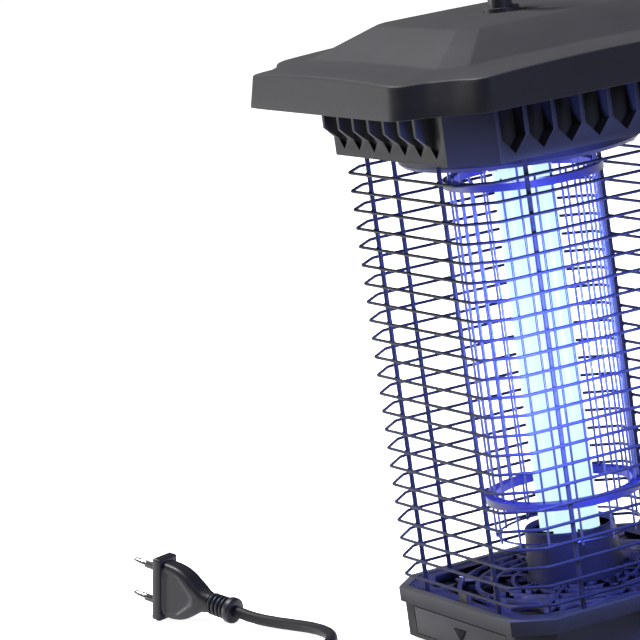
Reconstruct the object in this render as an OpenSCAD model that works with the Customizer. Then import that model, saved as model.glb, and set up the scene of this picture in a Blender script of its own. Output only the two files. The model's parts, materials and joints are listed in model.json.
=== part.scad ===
// Lantern-style electric insect killer: a square roofed housing with cooling
// fins, a square wire guard, a round high-voltage grid around an ultraviolet
// lamp, and a base with a grille and a pull-out catch tray.
// Origin: centre of the footprint at floor level. +Z up. -X is the tray end.

/* [Roof] */
// Half width of the roof at its lower edge
roof_low_half = 108.1; // [106:0.1:112]
// Half width of the roof at its eave
roof_eave_half = 105; // [101:0.1:106]
// Height of the roof's lower edge above the floor
roof_low_z = 279.7; // [276:0.1:281]
// Height of the eave at the middle of a side
eave_z = 298; // [297:0.1:300]
// Height of the flat top above the floor
roof_top_z = 311.8; // [308:0.1:320]
// Drop of the eave from the middle of a side to its corners
eave_arch = 1.8; // [0:0.1:3]
// Thickness of the roof's shell
roof_wall = 2.6; // [2:0.1:4]

/* [Hanger] */
// Radius of the hanger post
post_r = 6; // [5:0.1:8]
// Height of the post above the flat top
post_h = 26; // [20:1:40]
// Radius of the hanging ring to the middle of its wire
ring_r = 20; // [18:0.5:26]
// Radius of the hanging ring's wire
ring_wire_r = 2; // [1.5:0.1:2]

/* [Housing] */
// Half width of the housing across its fins and its two flush sides
fin_half = 77.6; // [77:0.1:79]
// Half width of the skirt below the fins on the two stepped sides
housing_half = 71.9; // [71:0.1:73]
// Height of the underside of the housing
housing_z = 250.4; // [249:0.1:252]
// Number of cooling pockets on each side
pockets = 7; // [5:2:7]
// Distance from one pocket to the next
pocket_pitch = 15.5; // [15:0.1:15.8]
// Radius of the round carrier under the housing
carrier_r = 60.3; // [58:0.1:61]

/* [Guard] */
// Half width of the wire guard to the middle of its wires
guard_half = 67.8; // [67:0.1:68.5]
// Half length of the straight part of a guard wire
guard_flat = 53.8; // [52:0.1:56]
// Number of guard wires, one above the other
guard_wires = 23; // [15:1:23]
// Distance from one guard wire to the next
guard_pitch = 9.4; // [8:0.1:9.4]
// Height of the lowest guard wire
guard_low_z = 33.8; // [32:0.1:36]
// Radius of a guard wire
guard_wire_r = 0.8; // [0.7:0.05:1]
// Radius of an upright bar
bar_r = 1.2; // [1:0.05:1.4]
// Distance of each upright bar from the middle of its side
bar_offset = 35.8; // [30:0.1:40]

/* [Grid and lamp] */
// Number of rods in the high-voltage grid
rods = 28; // [20:2:32]
// Radius of the circle on which the rods stand
rod_circle_r = 36.9; // [36:0.1:37.5]
// Radius of a rod
rod_r = 0.6; // [0.5:0.05:0.7]
// Angle of the first rod from the +X axis
rod_phase = 4.4; // [0:0.1:12]
// Outer radius of the two insulating rings
insulator_r = 39.95; // [39:0.05:42]
// Height of an insulating ring
insulator_h = 3.8; // [3:0.1:5]
// Radius of one lamp tube
tube_r = 6; // [5.5:0.1:6.2]
// Distance of each lamp tube from the lamp's axis, along X and along Y
tube_offset = 6.6; // [6.3:0.1:7]
// Height of the top of the lamp
lamp_top_z = 238; // [220:1:239]

/* [Base] */
// Half width of the base's rim
rim_half = 71.6; // [71:0.1:73]
// Half width of the base below the rim
base_half = 69.6; // [69:0.1:70.5]
// Height of the top of the rim above the floor
rim_top_z = 27.7; // [27:0.1:29]
// Height of the underside of the rim
rim_low_z = 20.2; // [20:0.1:21]
// Height of the rubber feet
foot_h = 2; // [1:0.1:3]
// Radius of the lamp pedestal at its foot
pedestal_r = 23.9; // [23:0.1:25]
// Height of the top of the lamp pedestal
pedestal_top_z = 52.6; // [48:0.1:54]
// Half width of the catch tray
tray_half = 46; // [40:0.5:46]

/* [Mains lead] */
// Outer radius of the mains lead
lead_r = 3.1; // [3:0.05:3.5]
// Mean radius of the stored coil of lead
coil_r = 36; // [32:0.1:37]
// Number of turns in each layer of the coil
coil_turns = 3; // [2:1:3]

/* [Hidden] */
$fn = 48;

// Slack that keeps sliding and nested pieces apart.
gap = 0.3;
// Half of the 45 degree corner of the guard, measured along the wire.
guard_corner = (guard_half - guard_flat) / sqrt(2);
// Centre line of the upright bars, just behind the guard wires.
bar_line = guard_half - guard_wire_r - bar_r + 0.15;
deck_top_z = rim_top_z - 0.7;
deck_h = 3.2;
base_wall = 2.4;
base_floor_z = foot_h + 2;
inner_half = base_half - base_wall;
rim_chamfer = 15.9;
base_chamfer = 15;
carrier_low_z = 242.5;
carrier_floor = 3;
pocket_mouth = 13.2;
pocket_depth = 8;
pocket_tip_z = 253.9;
housing_inner = 66;
housing_top_z = 295;
fin_step_z = 265;
housing_chamfer = 15.2;
// Ends of the housing's corner faces, on the stepped and on the flush sides.
corner_along = 56.4;
corner_across = 55.2;
ceiling_z = housing_top_z;
insulator_top_z = 228.9;
insulator_bottom_z = 68.6;
insulator_inner_r = 34.2;
contact_r = rod_circle_r - 2 * rod_r + 0.05;
contact_low_z = 50.8;
contact_high_z = 240;
rod_step = 360 / rods;
lamp_base_r = 17;
lamp_base_z = 36;
lamp_base_top_z = 48;
socket_r = 15;
pedestal_wall = 2.2;
pedestal_top_r = pedestal_r - 1.1;
tray_front_x = -base_half;
tray_low_z = base_floor_z + gap;
tray_top_z = rim_low_z - 1.6;
tray_length = 124;
tray_wall = 2;
post_eye_z = roof_top_z + post_h - 7;
eye_r = 3.3;
shank_r = 4;
relief_x = 10;
relief_z = 11;
relief_l = 30;
coil_at = [-222, 10];
coil_h = 4 * lead_r;
coil_half_w = coil_turns * lead_r;
lead_sides = 20;

// ---- shared shapes -------------------------------------------------------

// Square outline with its four corners cut at 45 degrees.
module cut_square(half, cut) {
    polygon([
        [half, half - cut], [half - cut, half], [cut - half, half], [-half, half - cut],
        [-half, cut - half], [cut - half, -half], [half - cut, -half], [half, cut - half]
    ]);
}

module prism(half, cut, low, high) {
    translate([0, 0, low]) linear_extrude(high - low) cut_square(half, cut);
}

// A quarter of a four-sided outline from the half side [along, out] list.
function quarter(side, turn) = [
    for (p = concat([for (i = [0:len(side) - 1]) [side[i][1], side[i][0]]],
                    [for (i = [len(side) - 2:-1:1]) [side[i][0], side[i][1]]]))
        [p[0] * cos(turn) - p[1] * sin(turn), p[0] * sin(turn) + p[1] * cos(turn)]
];
function outline(side) = [for (k = [0:3]) each quarter(side, 90 * k)];
function grown(side, d) = [for (p = side) [p[0] * (p[1] + d) / p[1], p[1] + d]];
// Puts an outline at a height that falls from the middle of each side.
function level(side, z, drop) = [
    for (p = outline(side))
        let (along = min(abs(p[0]), abs(p[1])), span = side[4][0])
            [p[0], p[1], z - drop * pow(min(along, span * 1.15) / span, 2)]
];

// Skin through a stack of outlines that have the same number of points,
// closed by a fan round the middle of the first and of the last outline.
module skin(levels, mids) {
    n = len(levels[0]);
    top = len(levels) - 1;
    points = concat([for (l = levels) each l], mids);
    low_i = n * len(levels);
    faces = concat(
        [for (k = [0:top - 1], i = [0:n - 1]) [k * n + i, (k + 1) * n + i, k * n + (i + 1) % n]],
        [for (k = [0:top - 1], i = [0:n - 1])
            [k * n + (i + 1) % n, (k + 1) * n + i, (k + 1) * n + (i + 1) % n]],
        [for (i = [0:n - 1]) [low_i, i, (i + 1) % n]],
        [for (i = [0:n - 1]) [low_i + 1, top * n + (i + 1) % n, top * n + i]]
    );
    polyhedron(points = points, faces = faces, convexity = 6);
}

function upright_mids(levels) = [for (l = [levels[0], levels[len(levels) - 1]]) [0, 0, l[0][2]]];

// Circle of the lead's surface round one point of its route.
function lead_circle(route, i) =
    let (ahead = route[min(i + 1, len(route) - 1)] - route[max(i - 1, 0)],
         along = ahead / norm(ahead),
         side = cross([0, 0, 1], along) / norm(cross([0, 0, 1], along)),
         up = cross(along, side))
    [for (a = [0:360 / lead_sides:359]) route[i] + lead_r * (cos(a) * side + sin(a) * up)];

// Round lead through a list of points.
module lead_through(route) {
    last = len(route) - 1;
    skin([for (i = [0:last]) lead_circle(route, i)], [route[0], route[last]]);
}

// ---- roof and hanger -----------------------------------------------------

// Half outlines from the middle of a side to its notched corner: [along, out].
low_side = [
    [0, roof_low_half], [18, roof_low_half], [36, roof_low_half], [54, roof_low_half - 0.1],
    [67.7, roof_low_half - 0.4], [73.5, roof_low_half - 1.4], [78, roof_low_half - 4.7],
    [81.3, roof_low_half - 9.4], [85, roof_low_half - 14.1], [89.3, 89.3]
];
eave_side = [
    [0, roof_eave_half], [18, roof_eave_half], [36, roof_eave_half - 0.1],
    [54, roof_eave_half - 0.3], [66, roof_eave_half - 0.5], [71, roof_eave_half - 1.4],
    [75.2, roof_eave_half - 4.7], [77.5, roof_eave_half - 9.4],
    [79.6, roof_eave_half - 15], [84.7, 84.7]
];
hip_low_side = [
    [0, 75.6], [14, 75.6], [28, 75.6], [42, 75.6], [54, 75.6], [60, 75.6],
    [64.4, 75.4], [67, 72.9], [68.6, 71.4], [69.9, 69.9]
];
hip_top_side = [
    [0, 49], [9, 49], [18, 49], [27, 49], [35, 49], [39, 48.9],
    [41.4, 48.5], [43, 46.9], [44.2, 45.7], [44.9, 44.9]
];

module roof_outside() {
    levels = [
        level(low_side, roof_low_z, 0),
        level(grown(eave_side, 0.6), eave_z - 1.4, eave_arch),
        level(eave_side, eave_z, eave_arch),
        level(hip_low_side, eave_z + 1.1, 0.5),
        level(hip_top_side, roof_top_z, 0.2)
    ];
    skin(levels, upright_mids(levels));
}

module roof_inside() {
    levels = [
        level(grown(low_side, -roof_wall), roof_low_z - 1, 0),
        level(grown(eave_side, -roof_wall), ceiling_z, 0),
        level(grown(hip_low_side, -roof_wall), ceiling_z + 0.1, 0),
        level(grown(hip_top_side, -roof_wall), roof_top_z - roof_wall - 0.2, 0)
    ];
    skin(levels, upright_mids(levels));
}

module roof_cover() {
    color([0.16, 0.16, 0.17])
    difference() {
        roof_outside();
        roof_inside();
        translate([0, 0, roof_top_z - 8]) cylinder(h = 16, r = shank_r);
    }
}

module hanger_post() {
    flange_r = post_r + 3;
    color([0.12, 0.12, 0.13])
    difference() {
        union() {
            translate([0, 0, roof_top_z]) cylinder(h = 2, r = flange_r);
            translate([0, 0, roof_top_z]) cylinder(h = post_h - post_r, r = post_r);
            translate([0, 0, roof_top_z + post_h - post_r]) sphere(r = post_r);
            translate([0, 0, roof_top_z - 14]) cylinder(h = 15, r = shank_r);
        }
        translate([0, 0, post_eye_z]) rotate([90, 0, 0])
            cylinder(h = 4 * post_r, r = eye_r, center = true);
    }
}

module hanger_nut() {
    color([0.7, 0.7, 0.72])
    translate([0, 0, roof_top_z - roof_wall - 0.2 - 6])
    difference() {
        cylinder(h = 6, r = 8, $fn = 6);
        translate([0, 0, -1]) cylinder(h = 8, r = shank_r, $fn = 48);
    }
}

module hanger_ring() {
    color([0.12, 0.12, 0.13])
    translate([0, 0, post_eye_z + ring_r]) rotate([90, 0, 90])
    rotate_extrude($fn = 96) translate([ring_r, 0]) circle(r = ring_wire_r, $fn = 32);
}

// ---- housing -------------------------------------------------------------

// Plan of the skirt: two flush sides, two stepped sides and four corner faces.
module skirt_plan() {
    polygon([for (s = [1, -1]) each [
        [s * housing_half, -s * corner_along], [s * housing_half, s * corner_along],
        [s * corner_across, s * fin_half], [-s * corner_across, s * fin_half]
    ]]);
}

// Block on the +X side that the pockets divide into fins. It slopes back to the
// skirt, and ends with one more fin at its -Y end than at its +Y end.
module fin_block() {
    step = fin_half - housing_half;
    inside = housing_half - 3;
    first_y = (pockets - 1) / 2 * pocket_pitch;
    last_y = pockets / 2 * pocket_pitch + (pocket_pitch - pocket_mouth) / 2;
    translate([0, first_y, 0]) rotate([90, 0, 0]) linear_extrude(first_y + last_y) polygon([
        [inside, fin_step_z - step], [housing_half, fin_step_z - step], [fin_half, fin_step_z],
        [fin_half, housing_top_z], [inside, housing_top_z]
    ]);
}

// One cooling pocket in plan: a steep wall on one side, a swept one on the other.
module pocket_plan() {
    m = pocket_mouth / 2;
    floor_x = fin_half - pocket_depth;
    polygon([
        [fin_half + 1, -m], [fin_half + 1, m], [floor_x, m - 0.6], [floor_x, -m + 5],
        [floor_x + 1, -m + 3.2], [floor_x + 3, -m + 1.5], [floor_x + 6, -m + 0.4]
    ]);
}

// A cooling pocket: a deep groove whose lower end comes to a point.
module pocket() {
    half = pocket_mouth / 2 + 0.3;
    shoulder_z = fin_step_z - 3;
    intersection() {
        translate([0, 0, housing_z]) linear_extrude(50) pocket_plan();
        rotate([90, 0, 90]) linear_extrude(fin_half + 2) polygon([
            [0, pocket_tip_z], [half, shoulder_z], [half, housing_top_z + 1],
            [-half, housing_top_z + 1], [-half, shoulder_z]
        ]);
    }
}

module top_housing() {
    last = (pockets - 1) / 2;
    color([0.15, 0.15, 0.17])
    difference() {
        union() {
            translate([0, 0, housing_z]) linear_extrude(housing_top_z - housing_z) skirt_plan();
            for (turn = [0, 180]) rotate([0, 0, turn]) fin_block();
        }
        for (turn = [0:90:270], k = [-last:last])
            rotate([0, 0, turn]) translate([0, k * pocket_pitch, 0]) pocket();
        prism(housing_inner, housing_chamfer, housing_z + 3, housing_top_z + 1);
        translate([0, 0, housing_z - 1]) cylinder(h = 6, r = carrier_r - 10);
        screw_places(carrier_r - 5) translate([0, 0, housing_z - 1]) cylinder(h = 6, r = 1.5);
    }
}

module screw_places(r) {
    for (a = [45:90:315]) rotate([0, 0, a]) translate([r, 0, 0]) children();
}

module grid_carrier() {
    color([0.14, 0.14, 0.2])
    difference() {
        rotate_extrude() polygon([
            [0, carrier_low_z], [carrier_r - 2, carrier_low_z], [carrier_r, carrier_low_z + 2],
            [carrier_r, housing_z], [carrier_r - 10, housing_z],
            [carrier_r - 12, carrier_low_z + carrier_floor], [0, carrier_low_z + carrier_floor]
        ]);
        screw_places(carrier_r - 5) translate([0, 0, carrier_low_z - 1]) cylinder(h = 12, r = 1.5);
    }
}

module carrier_screws() {
    color([0.75, 0.75, 0.77])
    screw_places(carrier_r - 5) {
        translate([0, 0, carrier_low_z - 1.4]) cylinder(h = 1.4, r = 2.8);
        translate([0, 0, carrier_low_z]) cylinder(h = 9.5, r = 1.5);
    }
}

board_z = housing_z + 3;

module driver_board() {
    color([0.1, 0.35, 0.16])
    translate([-56, -40, board_z]) cube([112, 80, 1.6]);
}

module transformer() {
    color([0.75, 0.6, 0.15])
    translate([-44, -14, board_z + 1.6]) cube([30, 28, 22]);
}

module capacitors() {
    color([0.1, 0.15, 0.4])
    for (p = [[8, 22, 7, 24], [26, 22, 5, 16], [8, -24, 5, 12]])
        translate([p[0], p[1], board_z + 1.6]) cylinder(h = p[3], r = p[2]);
}

module heat_sink() {
    color([0.75, 0.76, 0.78])
    translate([22, -16, board_z + 1.6]) {
        cube([26, 22, 3]);
        for (k = [0:4]) translate([k * 5.9, 0, 3]) cube([2.4, 22, 15]);
    }
}

// ---- wire guard ----------------------------------------------------------

// One side of the guard, facing -X: bent wires on two upright bars.
module guard_side() {
    color([0.11, 0.11, 0.12]) {
        for (k = [0:guard_wires - 1]) {
            z = guard_low_z + k * guard_pitch;
            translate([-guard_half, 0, z]) rotate([90, 0, 0])
                cylinder(h = 2 * guard_flat + 0.6, r = guard_wire_r, center = true, $fn = 16);
            for (s = [-1, 1])
                translate([-guard_half, s * guard_flat, z]) rotate([90, 0, s * -45 + (s > 0 ? 180 : 0)])
                    cylinder(h = guard_corner, r = guard_wire_r, $fn = 16);
        }
        for (s = [-1, 1])
            translate([-bar_line, s * bar_offset, deck_top_z])
                cylinder(h = housing_z - deck_top_z, r = bar_r, $fn = 24);
    }
}

module guard_left() { guard_side(); }
module guard_front() { rotate([0, 0, 90]) guard_side(); }
module guard_right() { rotate([0, 0, 180]) guard_side(); }
module guard_back() { rotate([0, 0, 270]) guard_side(); }

// ---- high-voltage grid and lamp -------------------------------------------

module insulator(z) {
    color([0.2, 0.22, 0.6])
    difference() {
        translate([0, 0, z]) cylinder(h = insulator_h, r = insulator_r, $fn = 96);
        translate([0, 0, z - 1]) cylinder(h = insulator_h + 2, r = insulator_inner_r, $fn = 96);
        for (i = [0:rods - 1]) rod_at(i) translate([0, 0, z - 1])
            cylinder(h = insulator_h + 2, r = rod_r, $fn = 24);
    }
}

module rod_at(i) {
    rotate([0, 0, rod_phase + i * rod_step]) translate([rod_circle_r, 0, 0]) children();
}

module rod_set(first, low, high) {
    color([0.7, 0.72, 0.8])
    for (i = [first:2:rods - 1]) rod_at(i) translate([0, 0, low])
        cylinder(h = high - low, r = rod_r, $fn = 24);
}

module contact_ring(z) {
    color([0.7, 0.72, 0.8])
    translate([0, 0, z]) rotate_extrude($fn = 96)
        translate([contact_r, 0]) circle(r = rod_r, $fn = 24);
}

module insulator_top() { insulator(insulator_top_z); }
module insulator_bottom() { insulator(insulator_bottom_z); }
module rods_live() { rod_set(0, insulator_bottom_z, carrier_low_z); }
module rods_earth() { rod_set(1, contact_low_z - 1.6, insulator_top_z + insulator_h + 2); }
module contact_ring_top() { contact_ring(contact_high_z); }
module contact_ring_bottom() { contact_ring(contact_low_z); }

// One U of the lamp: two upright tubes and the bridge between them.
module lamp_u(side) {
    bridge_z = lamp_top_z - tube_r - 2;
    color([0.8, 0.93, 1])
    for (s = [-1, 1]) {
        translate([side * tube_offset, s * tube_offset, lamp_base_top_z])
            cylinder(h = lamp_top_z - tube_r - lamp_base_top_z, r = tube_r);
        translate([side * tube_offset, s * tube_offset, lamp_top_z - tube_r]) sphere(r = tube_r);
        translate([side * tube_offset, 0, bridge_z]) rotate([90, 0, 0])
            cylinder(h = 2 * tube_offset, r = 3, center = true);
    }
}

module lamp_tube_a() { lamp_u(-1); }
module lamp_tube_b() { lamp_u(1); }

module lamp_base() {
    color([0.92, 0.92, 0.9])
    translate([0, 0, lamp_base_z]) cylinder(h = lamp_base_top_z - lamp_base_z, r = lamp_base_r);
}

module lamp_socket() {
    color([0.85, 0.85, 0.83])
    translate([0, 0, deck_top_z]) cylinder(h = lamp_base_z - deck_top_z, r = socket_r);
}

module pedestal() {
    color([0.14, 0.14, 0.2])
    rotate_extrude() polygon([
        [pedestal_r - pedestal_wall, deck_top_z], [pedestal_r, deck_top_z],
        [pedestal_top_r, pedestal_top_z], [pedestal_top_r - pedestal_wall, pedestal_top_z]
    ]);
}

// ---- base ----------------------------------------------------------------

module base_body() {
    color([0.16, 0.16, 0.17])
    difference() {
        union() {
            prism(base_half, base_chamfer, foot_h, rim_low_z + 0.5);
            prism(rim_half, rim_chamfer, rim_low_z, rim_top_z);
        }
        difference() {
            prism(inner_half, base_chamfer - 1, base_floor_z, rim_top_z + 1);
            for (s = [-1, 1])
                translate([-inner_half, s * (tray_half + gap + 1) - 1, base_floor_z])
                    cube([2 * inner_half, 2, deck_top_z - deck_h - base_floor_z]);
        }
        translate([-base_half - 1, -tray_half - gap, base_floor_z])
            cube([base_wall + 2, 2 * (tray_half + gap), tray_top_z + gap - base_floor_z]);
        translate([relief_x, -base_half, relief_z]) rotate([90, 0, 0])
            cylinder(h = 4 * base_wall, r = 4, center = true);
        base_screw_places() cylinder(h = base_floor_z + 1, r = 1.5);
    }
}

module base_screw_places() {
    for (x = [-1, 1], y = [-1, 1]) translate([x * 34, y * 58, 0]) children();
}

// Open grille: frame, concentric rings and ribs, with a solid middle.
module base_deck() {
    z = deck_top_z - deck_h;
    color([0.13, 0.13, 0.2])
    translate([0, 0, z]) {
        linear_extrude(deck_h) difference() {
            cut_square(inner_half - gap, base_chamfer - 1);
            cut_square(inner_half - 8, base_chamfer - 4);
        }
        for (r = [32:9:59]) linear_extrude(deck_h) difference() {
            circle(r = r + 1);
            circle(r = r - 1);
        }
        cylinder(h = deck_h, r = pedestal_r + 1);
        for (a = [0:45:315]) rotate([0, 0, a]) translate([pedestal_r, -1.2, 0])
            cube([inner_half - 4 - pedestal_r, 2.4, deck_h]);
    }
}

module deck_tab() {
    color([0.35, 0.35, 0.37])
    translate([-inner_half + 0.4, -6, deck_top_z]) cube([2.5, 8, 5.5]);
}

module base_screws() {
    color([0.75, 0.75, 0.77])
    base_screw_places() {
        translate([0, 0, foot_h - 1.3]) cylinder(h = 1.3, r = 2.8);
        translate([0, 0, foot_h]) cylinder(h = deck_top_z - deck_h - foot_h, r = 1.5);
    }
}

module catch_tray() {
    front = 2.6;
    color([0.16, 0.16, 0.17])
    difference() {
        translate([tray_front_x, -tray_half, tray_low_z])
            cube([tray_length, 2 * tray_half, tray_top_z - tray_low_z]);
        translate([tray_front_x + front, -tray_half + tray_wall, tray_low_z + tray_wall])
            cube([tray_length - front - tray_wall, 2 * (tray_half - tray_wall), 30]);
    }
}

// Raised arrow that shows which way the tray pulls out.
module tray_mark() {
    color([0.1, 0.1, 0.11])
    translate([tray_front_x, 0, (tray_low_z + tray_top_z) / 2]) rotate([90, 0, -90])
    linear_extrude(0.5) polygon([[-6, 2.6], [6, 2.6], [0, -3.6]]);
}

module foot(x, y) {
    color([0.05, 0.05, 0.05])
    translate([x * 52, y * 52, 0]) cylinder(h = foot_h, r = 7);
}

module foot_1() { foot(-1, -1); }
module foot_2() { foot(1, -1); }
module foot_3() { foot(1, 1); }
module foot_4() { foot(-1, 1); }

// ---- mains lead and plug ---------------------------------------------------

// Route of the lead on the floor, from the strain relief to the coil.
lead_in_route = [
    [relief_x, -77, relief_z], [relief_x, -99.6, relief_z], [9.5, -109, 10.2],
    [7.5, -119, 7.6], [3, -129, 4.9], [-4.5, -137, 3.4], [-14.5, -141.6, lead_r],
    [-27, -143.4, lead_r], [-42, -143.6, lead_r], [-60, -142.4, lead_r],
    [-80, -139.4, lead_r], [-100, -133.4, lead_r], [-120, -122.6, lead_r],
    [-141, -107.5, lead_r], [-162, -90.6, lead_r], [-184, -73, lead_r],
    [-206, -55.7, lead_r], [-227, -39.5, lead_r], [-246.8, -24.1, lead_r]
];
// Route of the lead from the coil, round the tray's path, to the plug.
plug_at = [-114.6, 163, 7.4];
lead_out_route = [
    [-226.4, 52, 9.3], [-214, 53.2, 8.6], [-200, 54.3, 6.4], [-186, 55.2, 4.2],
    [-172, 55.9, lead_r], [-156, 56.4, lead_r], [-141, 58.2, lead_r], [-127, 61.6, lead_r],
    [-114.3, 67.4, lead_r], [-104.6, 75.8, lead_r], [-98.6, 86, lead_r], [-96.4, 98, lead_r],
    [-97.4, 111, lead_r], [-100.6, 124, lead_r], [-104.8, 137, 3.4], [-109.6, 150, 4.6], plug_at
];

module lead_relief() {
    color([0.07, 0.07, 0.07])
    translate([relief_x, -base_half, relief_z]) rotate([90, 0, 0]) difference() {
        union() {
            translate([0, 0, -base_wall]) cylinder(h = base_wall, r = 4);
            cylinder(h = 3, r = 7.5);
            translate([0, 0, 3]) cylinder(h = relief_l - 3, r1 = 6, r2 = 4.2);
        }
        translate([0, 0, 6]) cylinder(h = relief_l, r = lead_r);
    }
}

module lead_in() {
    color([0.07, 0.07, 0.07]) lead_through(lead_in_route);
}

module lead_coil() {
    color([0.07, 0.07, 0.07])
    translate([coil_at[0], coil_at[1], 0]) difference() {
        cylinder(h = coil_h, r = coil_r + coil_half_w);
        translate([0, 0, -1]) cylinder(h = coil_h + 2, r = coil_r - coil_half_w);
    }
}

module lead_out() {
    color([0.07, 0.07, 0.07]) lead_through(lead_out_route);
}

// The plug lies on the edge of its front slab, with its pins to the side.
plug_turn = 111;
plug_tilt = 11.7;
slab_h = 35;
slab_t = 5.5;
slab_d = 14;
pin_pitch = 19;

module plug_frame() {
    translate(plug_at) rotate([0, 0, plug_turn]) rotate([0, -plug_tilt, 0]) children();
}

module plug_body() {
    color([0.06, 0.06, 0.06])
    plug_frame() {
        translate([48.5, -slab_d / 2, -slab_h / 2]) cube([slab_t, slab_d, slab_h]);
        rotate([90, 0, 0]) linear_extrude(slab_d - 2, center = true) polygon([
            [17, -5.5], [22, -6], [28, -9.5], [34, -13.2], [40, -15], [48.5, -15.5],
            [48.5, 15.5], [40, 15], [34, 13.2], [28, 9.5], [22, 6], [17, 5.5]
        ]);
    }
}

module plug_neck() {
    color([0.06, 0.06, 0.06])
    plug_frame() rotate([0, 90, 0]) {
        cylinder(h = 17, r = 4.6);
        cylinder(h = 4.7, r = 7);
        for (k = [0:3]) translate([0, 0, 6 + k * 2.75]) cylinder(h = 1.5, r = 6);
    }
}

module plug_sleeves() {
    color([0.06, 0.06, 0.06])
    plug_frame() for (s = [-1, 1])
        translate([54, 0, s * pin_pitch / 2]) rotate([0, 90, 0]) cylinder(h = 10, r = 2);
}

module plug_pins() {
    color([0.8, 0.8, 0.82])
    plug_frame() for (s = [-1, 1])
        translate([64, 0, s * pin_pitch / 2]) rotate([0, 90, 0]) {
            cylinder(h = 7.5, r = 2);
            translate([0, 0, 7.5]) cylinder(h = 1.5, r1 = 2, r2 = 1.2);
        }
}

roof_cover();
hanger_post();
hanger_nut();
hanger_ring();
top_housing();
grid_carrier();
carrier_screws();
driver_board();
transformer();
capacitors();
heat_sink();
guard_left();
guard_right();
guard_front();
guard_back();
insulator_top();
insulator_bottom();
rods_live();
rods_earth();
contact_ring_top();
contact_ring_bottom();
lamp_tube_a();
lamp_tube_b();
lamp_base();
lamp_socket();
pedestal();
base_body();
base_deck();
deck_tab();
base_screws();
catch_tray();
tray_mark();
foot_1();
foot_2();
foot_3();
foot_4();
lead_relief();
lead_in();
lead_coil();
lead_out();
plug_body();
plug_neck();
plug_sleeves();
plug_pins();
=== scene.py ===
"""Looks of the lantern-style insect killer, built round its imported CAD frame."""

import json
import math

import bpy
import numpy as np
from mathutils import Matrix, Vector


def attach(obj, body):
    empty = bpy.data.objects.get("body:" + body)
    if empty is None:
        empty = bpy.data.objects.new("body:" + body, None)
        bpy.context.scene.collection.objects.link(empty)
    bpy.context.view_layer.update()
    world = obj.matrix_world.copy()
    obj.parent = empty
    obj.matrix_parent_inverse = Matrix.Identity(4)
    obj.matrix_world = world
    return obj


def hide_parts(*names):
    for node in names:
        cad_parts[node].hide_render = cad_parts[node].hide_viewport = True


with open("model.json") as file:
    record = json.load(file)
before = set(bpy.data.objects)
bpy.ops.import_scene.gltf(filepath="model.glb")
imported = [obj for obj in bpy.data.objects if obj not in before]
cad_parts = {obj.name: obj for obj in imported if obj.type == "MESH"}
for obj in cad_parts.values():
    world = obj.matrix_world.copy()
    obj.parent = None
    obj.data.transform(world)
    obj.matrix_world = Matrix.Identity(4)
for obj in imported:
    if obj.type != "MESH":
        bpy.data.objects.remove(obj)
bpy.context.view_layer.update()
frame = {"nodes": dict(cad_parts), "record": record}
nodes = frame["nodes"]
MM = 0.001

# ---- camera ------------------------------------------------------------------

CAMERA_AT = (-0.9286, -1.6298, 0.5085)
CAMERA_AIM = (-0.1031, 0.0378, 0.1746)
CAMERA_ROLL, LENS = math.radians(8.18), 216.13


def add_camera():
    """Long lens from the front left, a little above the lantern, tilted clockwise."""
    data = bpy.data.cameras.new("view")
    data.sensor_width, data.lens = 36, LENS
    data.clip_start, data.clip_end = 0.05, 60
    cam = bpy.data.objects.new("view", data)
    look = (Vector(CAMERA_AIM) - Vector(CAMERA_AT)).to_track_quat("-Z", "Y").to_matrix()
    turn = look @ Matrix.Rotation(-CAMERA_ROLL, 3, "Z")
    cam.matrix_world = Matrix.Translation(CAMERA_AT) @ turn.to_4x4()
    bpy.context.collection.objects.link(cam)
    bpy.context.scene.camera = cam


add_camera()

# ---- mesh tools ----------------------------------------------------------------


class Shape:
    """Vertices and faces of one piece, in millimetres."""

    def __init__(self):
        self.verts, self.faces = [], []

    def grid(self, rings, cap=True):
        """Skin through rings of points that have the same number of points."""
        base, n = len(self.verts), len(rings[0])
        for ring in rings:
            self.verts += [tuple(p) for p in ring]
        for k in range(len(rings) - 1):
            for i in range(n):
                a, b = base + k * n + i, base + k * n + (i + 1) % n
                self.faces.append((a, b, b + n, a + n))
        if cap:
            last = base + (len(rings) - 1) * n
            self.faces.append(tuple(range(base + n - 1, base - 1, -1)))
            self.faces.append(tuple(range(last, last + n)))

    def tube(self, path, radius, sides=12):
        """Round bar along a path, with one radius or one for each point."""
        path = np.array(path, float)
        radii = np.broadcast_to(radius, len(path))
        along = np.gradient(path, axis=0)
        along /= np.linalg.norm(along, axis=1)[:, None]
        side = np.cross(along[0], (0, 0, 1) if abs(along[0][2]) < 0.9 else (1, 0, 0))
        rings = []
        angles = np.linspace(0, 2 * np.pi, sides, endpoint=False)
        for p, t, r in zip(path, along, radii):
            side = side - t * (side @ t)
            side /= np.linalg.norm(side)
            other = np.cross(t, side)
            rings.append([p + r * (math.cos(a) * side + math.sin(a) * other) for a in angles])
        self.grid(rings)

    def lathe(self, profile, sides=48, at=(0, 0, 0)):
        """Closed solid turned round Z from a list of (radius, z)."""
        angles = np.linspace(0, 2 * np.pi, sides, endpoint=False)
        self.grid([[(at[0] + r * math.cos(a), at[1] + r * math.sin(a), at[2] + z)
                    for a in angles] for r, z in profile])

    def piece(self, name, sharp=40, place=None):
        """The object, moved by place and smooth up to an angle of sharp degrees."""
        mesh = bpy.data.meshes.new(name)
        points = [Vector(v) for v in self.verts]
        if place is not None:
            points = [place @ v for v in points]
        mesh.from_pydata([v * MM for v in points], [], self.faces)
        mesh.validate()
        mesh.shade_smooth()
        mesh.set_sharp_from_angle(angle=math.radians(sharp))
        piece = bpy.data.objects.new(name, mesh)
        bpy.context.collection.objects.link(piece)
        return piece


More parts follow.
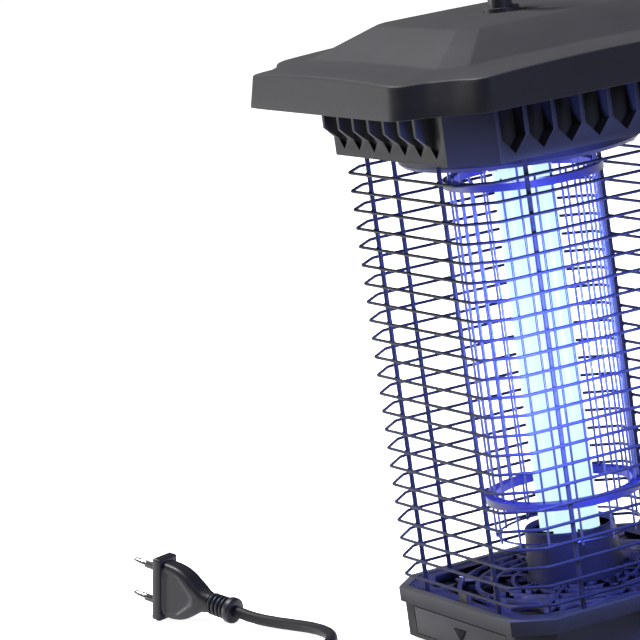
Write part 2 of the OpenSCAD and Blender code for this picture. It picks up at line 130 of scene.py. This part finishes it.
def spline(points, steps, closed=False):
    """Catmull-Rom curve through points, steps samples to a span."""
    p = np.array(points, float)
    n = len(p)
    out = []
    for i in range(n if closed else n - 1):
        if closed:
            a, b, c, d = (p[(i + k) % n] for k in (-1, 0, 1, 2))
        else:
            a, b, c, d = (p[min(max(i + k, 0), n - 1)] for k in (-1, 0, 1, 2))
        for t in np.arange(steps) / steps:
            out.append(0.5 * (2 * b + (c - a) * t + (2 * a - 5 * b + 4 * c - d) * t * t
                              + (3 * b - a - 3 * c + d) * t ** 3))
    return out if closed else out + [p[-1]]


def rounded(path, radius):
    """Path with each inner corner turned into an arc-like bend."""
    steps = 4
    p = [Vector(q) for q in path]
    out = [p[0]]
    for a, b, c in zip(p, p[1:], p[2:]):
        s, e = b + (a - b).normalized() * radius, b + (c - b).normalized() * radius
        for k in range(steps + 1):
            t = k / steps
            out.append(s * (1 - t) ** 2 + b * 2 * t * (1 - t) + e * t * t)
    return out + [p[-1]]


# ---- materials -----------------------------------------------------------------

BROAD_SCALE, BUMP_STRENGTH = 45, 0.6
GLOSS_BELOW, GLOSS_ABOVE = 0.06, 0.08
WEAR_FROM, WEAR_TO, WEAR_GAIN, WEAR_LIFT = 0.52, 0.62, 2.6, 0.02


def material(name, colour, rough, metal=0.0, grain=1400, bump=0.00004, mottle=0.12,
             wear=0.0, glow=None, coat=0.0, shine=0.35, stretch=(1, 1, 1)):
    """Finish with grain in its bump, uneven gloss and slightly uneven colour."""
    m = bpy.data.materials.new(name)
    m.use_nodes = True
    tree = m.node_tree
    new, link = tree.nodes.new, tree.links.new
    shader = tree.nodes["Principled BSDF"]
    where, scale = new("ShaderNodeTexCoord"), new("ShaderNodeMapping")
    scale.inputs["Scale"].default_value = stretch
    link(where.outputs["Object"], scale.inputs["Vector"])

    def noise(size, detail):
        n = new("ShaderNodeTexNoise")
        n.inputs["Scale"].default_value = size
        n.inputs["Detail"].default_value = detail
        link(scale.outputs["Vector"], n.inputs["Vector"])
        return n.outputs["Fac"]

    fine, broad = noise(grain, 3), noise(BROAD_SCALE, 4)
    tone = new("ShaderNodeValToRGB")
    for stop, share in zip(tone.color_ramp.elements, (1 - mottle, 1 + mottle)):
        stop.color = (*(min(1, c * share) for c in colour), 1)
    tone.color_ramp.elements[0].position, tone.color_ramp.elements[1].position = 0.3, 0.7
    link(broad, tone.inputs["Fac"])
    shown = tone.outputs["Color"]
    if wear:
        edge, near = new("ShaderNodeNewGeometry"), new("ShaderNodeMapRange")
        near.inputs["From Min"].default_value, near.inputs["From Max"].default_value = WEAR_FROM, WEAR_TO
        near.inputs["To Max"].default_value = wear
        link(edge.outputs["Pointiness"], near.inputs["Value"])
        mix = new("ShaderNodeMix")
        mix.data_type = "RGBA"
        link(near.outputs["Result"], mix.inputs["Factor"])
        link(shown, mix.inputs["A"])
        mix.inputs["B"].default_value = (*(min(1, c * WEAR_GAIN + WEAR_LIFT) for c in colour), 1)
        shown = mix.outputs["Result"]
    link(shown, shader.inputs["Base Color"])
    gloss = new("ShaderNodeMapRange")
    gloss.inputs["To Min"].default_value = rough - GLOSS_BELOW
    gloss.inputs["To Max"].default_value = rough + GLOSS_ABOVE
    link(fine, gloss.inputs["Value"])
    link(gloss.outputs["Result"], shader.inputs["Roughness"])
    relief = new("ShaderNodeBump")
    relief.inputs["Distance"].default_value = bump
    relief.inputs["Strength"].default_value = BUMP_STRENGTH
    link(fine, relief.inputs["Height"])
    link(relief.outputs["Normal"], shader.inputs["Normal"])
    shader.inputs["Metallic"].default_value = metal
    shader.inputs["Specular IOR Level"].default_value = shine
    shader.inputs["Coat Weight"].default_value = coat
    if glow:
        shader.inputs["Emission Color"].default_value = (*glow[0], 1)
        shader.inputs["Emission Strength"].default_value = glow[1]
    return m


GREY = (0.030, 0.030, 0.0325)
LAMP_GLOW = (0.66, 0.95, 1.0)
LOOK = {
    "housing_plastic": material("housing_plastic", GREY, 0.5, mottle=0.05, wear=0.25, shine=0.07),
    "hanger_plastic": material("hanger_plastic", (0.026, 0.026, 0.028), 0.4, wear=0.2, shine=0.25),
    "hanger_steel": material("hanger_steel", (0.02, 0.02, 0.022), 0.35, grain=700, bump=0.00006),
    "zinc_steel": material("zinc_steel", (0.55, 0.55, 0.57), 0.3, metal=1, mottle=0.08),
    "inner_plastic": material("inner_plastic", (0.018, 0.018, 0.036), 0.45, wear=0.15, shine=0.1),
    "board_green": material("board_green", (0.01, 0.075, 0.025), 0.3, grain=300, coat=0.5),
    "tape_yellow": material("tape_yellow", (0.5, 0.33, 0.03), 0.45, grain=500),
    "capacitor_sleeve": material("capacitor_sleeve", (0.012, 0.02, 0.09), 0.3, coat=0.4),
    "heat_sink_metal": material("heat_sink_metal", (0.6, 0.6, 0.62), 0.35, metal=1,
                                stretch=(1, 0.05, 1)),
    # Near-black paint of the guard wires; its blue tint is painted blue light of the lamp, not the paint's
    # own colour.
    "guard_paint": material("guard_paint", (0.014, 0.015, 0.030), 0.5, grain=900, bump=0.00003,
                            wear=0.1, shine=0.1),
    "insulator_plastic": material("insulator_plastic", (0.014, 0.017, 0.105), 0.38),
    # Steel rods of the grid; the strong blue of their metal colour is painted reflection of the lamp's blue
    # light.
    "grid_steel": material("grid_steel", (0.06, 0.075, 0.24), 0.3, metal=1, bump=0.00001,
                           stretch=(1, 1, 0.05)),
    "lamp_glass": material("lamp_glass", (0.08, 0.10, 0.12), 0.3, mottle=0.02,
                           glow=(LAMP_GLOW, 0.93)),
    "lamp_cap": material("lamp_cap", (0.62, 0.62, 0.6), 0.4),
    "tab_plastic": material("tab_plastic", (0.055, 0.055, 0.062), 0.5, shine=0.1),
    "mark_plastic": material("mark_plastic", (0.008, 0.008, 0.009), 0.6, shine=0.03),
    "foot_rubber": material("foot_rubber", (0.012, 0.012, 0.012), 0.7, grain=500, bump=0.0001),
    "lead_rubber": material("lead_rubber", (0.007, 0.006, 0.0065), 0.55, grain=600, bump=0.00008,
                            shine=0.12),
    "plug_plastic": material("plug_plastic", (0.006, 0.006, 0.007), 0.42, grain=800, bump=0.00006,
                             wear=0.12, shine=0.2),
    "pin_metal": material("pin_metal", (0.36, 0.34, 0.33), 0.22, metal=1, mottle=0.06),
}
SLOT_OF = {s["node"]: s["material_slot"] for s in frame["record"]["subparts"]}


def finish_with(piece, slot_name):
    """Leaves the finish of a material slot as the piece's only material."""
    piece.data.materials.clear()
    piece.data.materials.append(LOOK[slot_name])


def stands_for(piece, *names, body="lantern"):
    """Dresses a piece, lets it ride on its body and puts it in place of CAD nodes."""
    slot_name = SLOT_OF[names[0]]
    finish_with(piece, slot_name)
    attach(piece, body)
    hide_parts(*names)
    return piece


# ---- mains lead ----------------------------------------------------------------

LEAD_R = 3.1
COIL_AT, COIL_R, COIL_TURNS, COIL_START = (-222, 10), 36, 4.3833, 234
SHIFT = 0.4  # share of a turn in which the lead moves over to the next ring
POINTS_PER_TURN = 16
LEAD_IN = [
    (10, -77, 11), (10, -99.6, 11), (9.5, -109, 10.2), (7.5, -119, 7.6), (3, -129, 4.9),
    (-4.5, -137, 3.4), (-14.5, -141.6, LEAD_R), (-27, -143.4, LEAD_R), (-42, -143.6, LEAD_R),
    (-60, -142.4, LEAD_R), (-80, -139.4, LEAD_R), (-100, -133.4, LEAD_R),
    (-120, -122.6, LEAD_R), (-141, -107.5, LEAD_R), (-162, -90.6, LEAD_R),
    (-184, -73, LEAD_R), (-206, -55.7, LEAD_R), (-227, -39.5, LEAD_R),
]
PLUG_AT = (-114.6, 163, 7.4)
LEAD_OUT = [
    (-214, 53.2, 8.6), (-200, 54.3, 6.4), (-186, 55.2, 4.2), (-172, 55.9, LEAD_R),
    (-156, 56.4, LEAD_R), (-141, 58.2, LEAD_R), (-127, 61.6, LEAD_R), (-114.3, 67.4, LEAD_R),
    (-104.6, 75.8, LEAD_R), (-98.6, 86, LEAD_R), (-96.4, 98, LEAD_R), (-97.4, 111, LEAD_R),
    (-100.6, 124, LEAD_R), (-104.8, 137, 3.4), (-109.6, 150, 4.6), PLUG_AT,
]


def coil_points():
    """Two layers: inwards on the floor, up on the inner turn, outwards on top."""
    def step(t, start):
        x = min(max((t - start) / SHIFT, 0), 1)
        return x * x * (3 - 2 * x)

    wide, out = 2 * LEAD_R, []
    count = round(COIL_TURNS * POINTS_PER_TURN)
    for k in range(count + 1):
        t = COIL_TURNS * k / count
        inwards = step(t, 1 - SHIFT) + step(t, 2 - SHIFT)
        outwards = step(t, 4 - 3 * SHIFT) + step(t, 5 - 3 * SHIFT)
        r = COIL_R + wide * (1 - inwards + outwards)
        a = math.radians(COIL_START) - 2 * math.pi * t
        z = LEAD_R + wide * step(t, 3 - 2 * SHIFT)
        out.append((COIL_AT[0] + r * math.cos(a), COIL_AT[1] + r * math.sin(a), z))
    return out


def add_lead():
    """The whole lead as one curve: base to coil, the coil's turns, coil to plug."""
    route = LEAD_IN + coil_points() + LEAD_OUT
    data = bpy.data.curves.new("mains_lead", "CURVE")
    data.dimensions, data.resolution_u = "3D", 6
    data.bevel_depth, data.bevel_resolution = LEAD_R * MM, 5
    data.use_fill_caps = True
    line = data.splines.new("BEZIER")
    line.bezier_points.add(len(route) - 1)
    for point, place in zip(line.bezier_points, route):
        point.co = Vector(place) * MM
        point.handle_left_type = point.handle_right_type = "AUTO"
    lead = bpy.data.objects.new("mains_lead", data)
    bpy.context.collection.objects.link(lead)
    return stands_for(lead, "lead_in", "lead_coil", "lead_out")


RELIEF_AT, RELIEF_RIBS, RIB_PITCH, RIB_TAPER = (10, -69.6, 11), 7, 3.4, 0.24


def add_relief():
    """Tapered strain relief with flexing ribs, on the -Y face of the base."""
    shape = Shape()
    profile = [(4.0, -2.2), (4.0, 0), (7.2, 0), (7.5, 0.3), (7.5, 2.6), (7.2, 3.0), (6.1, 3.1)]
    for k in range(RELIEF_RIBS):
        z, r = 4.2 + k * RIB_PITCH, 6.0 - k * RIB_TAPER
        profile += [(r, z), (r, z + 1.8), (r - 0.9, z + 2.1), (r - 0.9, z + 3.1)]
    profile += [(4.3, 28.4), (4.2, 29.6), (3.9, 30), (3.15, 30), (3.15, 8)]
    shape.lathe(profile, sides=40)
    place = Matrix.Translation(RELIEF_AT) @ Matrix.Rotation(math.radians(90), 4, "X")
    return stands_for(shape.piece("strain_relief", 30, place), "lead_relief")


TIE_ANGLE, TIE_CLEAR, TIE_BEND, TIE_HALF_WIDTH, TIE_HALF_THICK = 335, 0.5, 2.6, 2.4, 0.35
TIE_LOW_Z, TIE_HIGH_Z = 0.4, 4 * LEAD_R + TIE_CLEAR
LOCK = [(-3.4, -3.2), (3.4, -3.2), (3.4, 3.2), (-3.4, 3.2)]
# Layers of the lock, as (height over the strap, scale).
LOCK_LAYERS = ((-0.2, 0.94), (0, 1), (2.0, 1), (2.6, 0.88))


def tie_loop():
    """Line of the strap round the turns, as (radius, z) with a bend at each corner."""
    inner, outer = COIL_R - 3 * LEAD_R - TIE_CLEAR, COIL_R + 3 * LEAD_R + TIE_CLEAR
    corners = ((outer, TIE_HIGH_Z, 0), (inner, TIE_HIGH_Z, 90),
               (inner, TIE_LOW_Z, 180), (outer, TIE_LOW_Z, 270))
    loop = []
    for r, z, first in corners:
        r += -TIE_BEND if first in (0, 270) else TIE_BEND
        z += -TIE_BEND if first in (0, 90) else TIE_BEND
        for a in range(first, first + 91, 15):
            loop.append((r + TIE_BEND * math.cos(math.radians(a)), z + TIE_BEND * math.sin(math.radians(a))))
    return loop


def add_tie():
    """Flat strap round the turns of the coil, with its ends pinched in a small lock."""
    middle_z = (TIE_LOW_Z + TIE_HIGH_Z) / 2
    rings = []
    for grow, side in ((1, -1), (1, 1), (-1, 1), (-1, -1), (1, -1)):
        off = grow * TIE_HALF_THICK
        rings.append([(r + off * math.copysign(1, r - COIL_R), side * TIE_HALF_WIDTH,
                       z + off * math.copysign(1, z - middle_z)) for r, z in tie_loop()])
    shape = Shape()
    shape.grid(rings, cap=False)
    shape.grid([[(COIL_R + x * k, y * k, TIE_HIGH_Z + z) for x, y in LOCK] for z, k in LOCK_LAYERS])
    place = Matrix.Translation((*COIL_AT, 0)) @ Matrix.Rotation(math.radians(TIE_ANGLE), 4, "Z")
    tie = shape.piece("coil_tie", 40, place)
    finish_with(tie, "hanger_plastic")
    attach(tie, "lantern")
    return tie


PLUG_TURN, PLUG_LEAN = math.radians(111), math.radians(-11.7)
PLUG_PLACE = (Matrix.Translation(PLUG_AT) @ Matrix.Rotation(PLUG_TURN, 4, "Z")
              @ Matrix.Rotation(PLUG_LEAN, 4, "Y"))
HOLLOW_FROM, HOLLOW_TO, HOLLOW_DEPTH, HOLLOW_SHARE, HOLLOW_EDGE = 26, 46.6, 0.7, 0.78, 1.3


def add_plug_body():
    """Moulded two-pin plug: flared grip with a shield-shaped hollow, and its slab."""
    shape = Shape()
    stations = spline([(16.8, 5.2, 4.9), (19.5, 5.6, 5.2), (23, 6.6, 5.6), (27.5, 9.4, 5.9),
                       (32, 12.4, 6.0), (37, 14.4, 6.0), (42.5, 15.3, 6.0), (48.7, 15.5, 6.0)], 7)
    angles = np.linspace(0, 2 * np.pi, 96, endpoint=False)
    rings = []
    for x, wide, thick in stations:
        power = 0.42 + 0.5 * max(0, (24 - x) / 7)
        ring = []
        for a in angles:
            z = wide * math.copysign(abs(math.cos(a)) ** power, math.cos(a))
            y = thick * math.copysign(abs(math.sin(a)) ** power, math.sin(a))
            along = (x - 25.5) / 20.0
            edge = HOLLOW_SHARE * wide * min(1.0, 0.35 + 1.1 * max(along, 0))
            inside = min((edge - abs(z)) / HOLLOW_EDGE, (x - HOLLOW_FROM) / 1.6,
                         (HOLLOW_TO - x) / HOLLOW_EDGE)
            if abs(y) > 0.6 * thick:
                y -= math.copysign(HOLLOW_DEPTH * min(max(inside, 0), 1), y)
            ring.append((x, y, z))
        rings.append(ring)
    shape.grid(rings)
    half_y, half_z, soft = 7.0, 17.5, 1.1
    slab = []
    for x, inset in ((48.3, 0.9), (48.7, 0.2), (49.2, 0), (53.2, 0), (53.7, 0.25), (54, 0.9)):
        ring = []
        for a in range(0, 360, 6):
            c, s = math.cos(math.radians(a)), math.sin(math.radians(a))
            corner = (math.copysign(half_z - inset - soft, c), math.copysign(half_y - inset - soft, s))
            ring.append((x, corner[1] + soft * s, corner[0] + soft * c))
        slab.append(ring)
    shape.grid(slab)
    return stands_for(shape.piece("plug_grip", 32, PLUG_PLACE), "plug_body")


def add_plug_neck():
    """Flexible neck: collar where the lead enters, then four ribs."""
    shape = Shape()
    profile = [(3.2, 0), (6.1, 0), (6.8, 0.5), (7, 1.4), (7, 3.4), (6.7, 4.3), (6, 4.8), (4.5, 5.2)]
    for k in range(4):
        z = 6 + 2.75 * k
        profile += [(4.5, z - 0.2), (5.6, z), (6, 0.45 + z), (6, 1.05 + z), (5.6, 1.5 + z), (4.5, 1.7 + z)]
    profile += [(4.6, 16.9), (4.0, 17.2)]
    shape.lathe(profile, sides=40)
    place = PLUG_PLACE @ Matrix.Rotation(math.radians(90), 4, "Y")
    return stands_for(shape.piece("plug_flex_neck", 50, place), "plug_neck")


PIN_AT, PIN_SIDES = 9.5, 28
SLEEVE = [(1.2, 53.6), (2.05, 53.6), (2.0, 54.2), (1.95, 63.4), (1.75, 64.0), (1.2, 64)]
PIN_TIP = [(1.2, 63.7), (1.9, 63.9), (2, 64.3), (2, 71), (1.9, 71.9), (1.5, 72.7), (0.8, 73)]


def add_pins():
    """Two insulated sleeves and the bare metal tips that stand out of them."""
    sleeves, pins = Shape(), Shape()
    for z in (-PIN_AT, PIN_AT):
        sleeves.lathe(SLEEVE, PIN_SIDES, (z, 0, 0))
        pins.lathe(PIN_TIP, PIN_SIDES, (z, 0, 0))
    place = PLUG_PLACE @ Matrix(((0, 0, 1, 0), (0, -1, 0, 0), (1, 0, 0, 0), (0, 0, 0, 1)))
    return (stands_for(sleeves.piece("pin_sleeves", 35, place), "plug_sleeves"),
            stands_for(pins.piece("pin_tips", 35, place), "plug_pins"))


lead = add_lead()
relief = add_relief()
plug_set = [add_tie(), add_plug_body(), add_plug_neck(), *add_pins()]

# ---- roof ----------------------------------------------------------------------

# Half of a side of each outline, from its middle to its corner, as (along, out).
ROOF_LOW = [(0, 108.1), (18, 108.1), (36, 108.1), (54, 108), (67.7, 107.7), (73.5, 106.7),
            (78, 103.4), (81.3, 98.7), (85, 94), (89.3, 89.3)]
EAVE = [(0, 105), (18, 105), (36, 104.9), (54, 104.7), (66, 104.5), (71, 103.6),
        (75.2, 100.3), (77.5, 95.6), (79.6, 90), (84.7, 84.7)]
HIP_LOW = [(0, 75.6), (14, 75.6), (28, 75.6), (42, 75.6), (54, 75.6), (62.8, 75.6),
           (63.9, 75.4), (64.9, 74.7), (67.4, 72.3), (69.9, 69.9)]
HIP_TOP = [(0, 49), (9, 49), (18, 49), (27, 49), (35, 49), (39.9, 49),
           (40.9, 48.8), (41.8, 48.1), (43.3, 46.6), (44.9, 44.9)]
EAVE_Z, ROOF_LOW_Z, ROOF_TOP_Z, CEILING_Z, ROOF_WALL = 298, 279.7, 311.8, 295, 2.6
EAVE_DROP, STRAIGHT_END = 1.8, 4


def roof_ring(side, z, drop=0.0, grow=0.0):
    """Four-sided outline from half a side, dropping from the middle to the corners.

    A side is nearly straight up to its point number STRAIGHT_END.
    """
    half = [(a * (b + grow) / b, b + grow) for a, b in side]
    quarter = [(b, a) for a, b in half] + [half[i] for i in range(len(half) - 2, 0, -1)]
    span = half[STRAIGHT_END][0]
    ring = []
    for k in range(4):
        c, s = (1, 0, -1, 0)[k], (0, 1, 0, -1)[k]
        for x, y in quarter:
            along = min(abs(x), abs(y), span * 1.15)
            ring.append((x * c - y * s, x * s + y * c, z - drop * (along / span) ** 2))
    return spline(ring, 3, closed=True)


def between(a, b, t):
    """Outline at share t of the way from a to b."""
    return [p * (1 - t) + q * t for p, q in zip(a, b)]


def add_roof():
    """Hollow roof, skinned from its inner top down to the rim and up again outside."""
    low, low_in = roof_ring(ROOF_LOW, ROOF_LOW_Z), roof_ring(ROOF_LOW, ROOF_LOW_Z, 0, -ROOF_WALL)
    shoulder = roof_ring(EAVE, EAVE_Z - 1.4, EAVE_DROP, 0.6)
    eave = roof_ring(EAVE, EAVE_Z, EAVE_DROP)
    hip_low, hip_top = roof_ring(HIP_LOW, EAVE_Z + 1.1, 0.5), roof_ring(HIP_TOP, ROOF_TOP_Z, 0.2)
    soffit = roof_ring(EAVE, CEILING_Z, 0, -ROOF_WALL)
    rings = [
        roof_ring(HIP_TOP, ROOF_TOP_Z - ROOF_WALL - 0.2, 0, -ROOF_WALL),
        roof_ring(HIP_LOW, CEILING_Z + 0.1, 0, -ROOF_WALL), soffit,
        between(soffit, low_in, 0.5), between(soffit, low_in, 0.97), low_in,
        between(low_in, low, 0.25), between(low_in, low, 0.8),
        roof_ring(ROOF_LOW, ROOF_LOW_Z + 0.15, 0, -0.1),
        between(low, shoulder, 0.03), between(low, shoulder, 0.5), between(low, shoulder, 0.95),
        shoulder, roof_ring(EAVE, EAVE_Z - 0.6, EAVE_DROP, 0.35),
        roof_ring(EAVE, EAVE_Z - 0.15, EAVE_DROP, -0.15),
        roof_ring(EAVE, EAVE_Z + 0.02, 1.78, -0.9), between(eave, hip_low, 0.4),
        between(eave, hip_low, 0.93), hip_low, between(hip_low, hip_top, 0.04),
        between(hip_low, hip_top, 0.5), between(hip_low, hip_top, 0.96),
        roof_ring(HIP_TOP, ROOF_TOP_Z - 0.1, 0.2, -0.5), roof_ring(HIP_TOP, ROOF_TOP_Z, 0.1, -1.6),
        roof_ring(HIP_TOP, ROOF_TOP_Z, 0, -30),
    ]
    shape = Shape()
    shape.grid(rings)
    return stands_for(shape.piece("roof", 28), "roof_cover")


# ---- guard, lamp and the CAD nodes ------------------------------------------------

GUARD_HALF, GUARD_FLAT, GUARD_LOW_Z, GUARD_PITCH, GUARD_WIRES = 67.8, 53.8, 33.8, 9.4, 23
WIRE_R, WIRE_BEND, BAR_R, BAR_OFFSET, BAR_LINE, BAR_Z = 0.8, 2.2, 1.2, 35.8, 65.95, (27.0, 140, 250.4)
# Points along a weld, as (in from the wires' line, up, radius).
WELD = ((0.5, -1.15, 0.35), (0.7, 0, 0.95), (0.5, 1.15, 0.35))
TUBE_OFFSET, TUBE_R, TUBE_LOW_Z, TUBE_TOP_Z = 6.6, 6.0, 48, 238.0


def add_guard(name, turn):
    """One side of the guard: wires bent at the corners, welded to two upright bars."""
    shape = Shape()
    cut = GUARD_HALF - GUARD_FLAT
    for k in range(GUARD_WIRES):
        z = GUARD_LOW_Z + k * GUARD_PITCH
        path = [(-GUARD_HALF + cut / 2, -GUARD_FLAT - cut / 2, z), (-GUARD_HALF, -GUARD_FLAT, z),
                (-GUARD_HALF, GUARD_FLAT, z), (-GUARD_HALF + cut / 2, GUARD_FLAT + cut / 2, z)]
        shape.tube(rounded(path, WIRE_BEND), WIRE_R, 10)
        for s in (-1, 1):
            weld = [(-GUARD_HALF + inset, s * BAR_OFFSET, z + up) for inset, up, r in WELD]
            shape.tube(weld, [r for inset, up, r in WELD], 8)
    for s in (-1, 1):
        shape.tube([(-BAR_LINE, s * BAR_OFFSET, z) for z in BAR_Z], BAR_R, 16)
    place = Matrix.Rotation(math.radians(turn), 4, "Z")
    return stands_for(shape.piece(name + "_wires", 50, place), name)


def add_lamp(name, side):
    """One U of the lamp: two tubes with rounded tops and a narrow bridge."""
    shape, bend_z = Shape(), TUBE_TOP_Z - TUBE_R
    for s in (-1, 1):
        profile = [(TUBE_R, TUBE_LOW_Z), (TUBE_R, bend_z)]
        profile += [(TUBE_R * math.cos(a), bend_z + TUBE_R * math.sin(a))
                    for a in np.linspace(0.15, 1.5, 9)]
        shape.lathe(profile, 40, (side * TUBE_OFFSET, s * TUBE_OFFSET, 0))
    bridge = [(side * TUBE_OFFSET, y, bend_z - 2) for y in (-TUBE_OFFSET, -2, 2, TUBE_OFFSET)]
    shape.tube(bridge, (3.3, 2.9, 2.9, 3.3), 24)
    glass = stands_for(shape.piece(name + "_glass", 50), name)
    glass.visible_shadow = False
    return glass


def add_pedestal():
    """Round holder of the lamp, with a stepped foot and a rounded lip."""
    shape = Shape()
    shape.lathe([(20.6, 50), (20.7, 52.1), (21.0, 52.5), (21.6, 52.6), (22.4, 52.5), (22.75, 52.1),
                 (22.8, 51.5), (23.5, 34), (23.85, 28.4), (23.9, 27.1), (21.7, 27.1), (20.9, 34),
                 (20.6, 50)], 96)
    return stands_for(shape.piece("lamp_pedestal", 40), "pedestal")


SHARP_ANGLE = math.radians(32)


def dress(name, edge=0.0):
    """Gives a CAD node its finish, and eased edges where edge is their width in mm."""
    node = nodes[name]
    finish_with(node, SLOT_OF[name])
    node.data.shade_smooth()
    if edge:
        weld = node.modifiers.new("weld", "WELD")
        weld.merge_threshold = 1e-6
        flat = node.modifiers.new("flat", "DECIMATE")
        flat.decimate_type, flat.angle_limit = "DISSOLVE", math.radians(1.0)
        ease = node.modifiers.new("ease", "BEVEL")
        ease.width, ease.segments, ease.limit_method = edge * MM, 2, "ANGLE"
        ease.angle_limit, ease.harden_normals = SHARP_ANGLE, True
        ease.use_clamp_overlap = True
    node.data.set_sharp_from_angle(angle=SHARP_ANGLE)


add_roof()
for guard, angle in (("guard_left", 0), ("guard_front", 90), ("guard_right", 180), ("guard_back", 270)):
    add_guard(guard, angle)
add_lamp("lamp_tube_a", -1)
add_lamp("lamp_tube_b", 1)
add_pedestal()
EASED = {"top_housing": 0.35, "base_body": 0.5, "base_deck": 0.3, "catch_tray": 0.4,
         "deck_tab": 0.3, "transformer": 0.6, "heat_sink": 0.2, "hanger_nut": 0.3,
         "tray_mark": 0.15, "carrier_screws": 0.25, "base_screws": 0.3}
for node_name, node in nodes.items():
    if not node.hide_render:
        dress(node_name, EASED.get(node_name, 0.0))

# ---- stage and light -----------------------------------------------------------


FLOOR_HALF = 20000
LAMP_VIOLET, GLOW_POWER, GLOW_SIZE = (0.20, 0.22, 1.0), 0.2, 0.010
GLOW_HEIGHTS = (0.060, 0.105, 0.150, 0.195, 0.236)
WORLD_STRENGTH = 0.08


def add_floor():
    """Wide white sheet that shows in reflections but throws no diffuse light."""
    shape = Shape()
    shape.verts = [(x * FLOOR_HALF, y * FLOOR_HALF, 0) for x, y in ((-1, -1), (1, -1), (1, 1), (-1, 1))]
    shape.faces = [(0, 1, 2, 3)]
    floor = shape.piece("floor")
    paper = material("floor_paper", (0.80, 0.80, 0.80), 0.8, grain=200, mottle=0.01, shine=0.0,
                     glow=((1, 1, 1), 0.9))
    floor.data.materials.append(paper)
    floor.visible_diffuse = False


def add_light(name, place, aim, size, power, colour=(1, 1, 1), tall=0):
    """Soft disc of light, or an upright strip of width size where tall is given."""
    data = bpy.data.lights.new(name, "AREA")
    data.shape, data.size, data.energy, data.color = "DISK", size, power, colour
    if tall:
        data.shape, data.size_y = "RECTANGLE", tall
    lamp = bpy.data.objects.new(name, data)
    lamp.location = place
    lamp.rotation_euler = (Vector(aim) - Vector(place)).to_track_quat("-Z", "Y").to_euler()
    lamp.visible_camera = False
    bpy.context.collection.objects.link(lamp)


def add_glow(z):
    """Violet light of the lamp, which its pale glass alone would not cast."""
    data = bpy.data.lights.new("glow", "POINT")
    data.energy, data.color, data.shadow_soft_size = GLOW_POWER, LAMP_VIOLET, GLOW_SIZE
    lamp = bpy.data.objects.new("glow", data)
    lamp.location = (0, 0, z)
    lamp.visible_camera = False
    bpy.context.collection.objects.link(lamp)


def add_world():
    """Faint even light from all round."""
    world = bpy.data.worlds.new("studio")
    world.use_nodes = True
    sky = world.node_tree.nodes["Background"]
    sky.inputs["Color"].default_value = (1, 1, 1, 1)
    sky.inputs["Strength"].default_value = WORLD_STRENGTH
    bpy.context.scene.world = world


add_floor()
add_light("key", (-1.5, 1.35, 0.20), (0, 0, 0.17), size=1.0, power=36)
add_light("top", (-0.5, 0.8, 2.0), (0, 0, 0.2), size=0.7, power=112)
add_light("fill", (0.3, -2.0, 1.0), (0, 0, 0.2), size=0.8, power=24, colour=(0.58, 0.64, 1.0))
# Imitates the lamp's glare on the front guard's wires; no real light stands there.
add_light("halo", (-0.052, -0.108, 0.150), (0, 0, 0.150), size=0.03, power=1.7,
          colour=(0.20, 0.27, 1.0), tall=0.10)
for glow_z in GLOW_HEIGHTS:
    add_glow(glow_z)
add_world()
bpy.context.scene.view_settings.view_transform = "Standard"

bpy.context.view_layer.update()
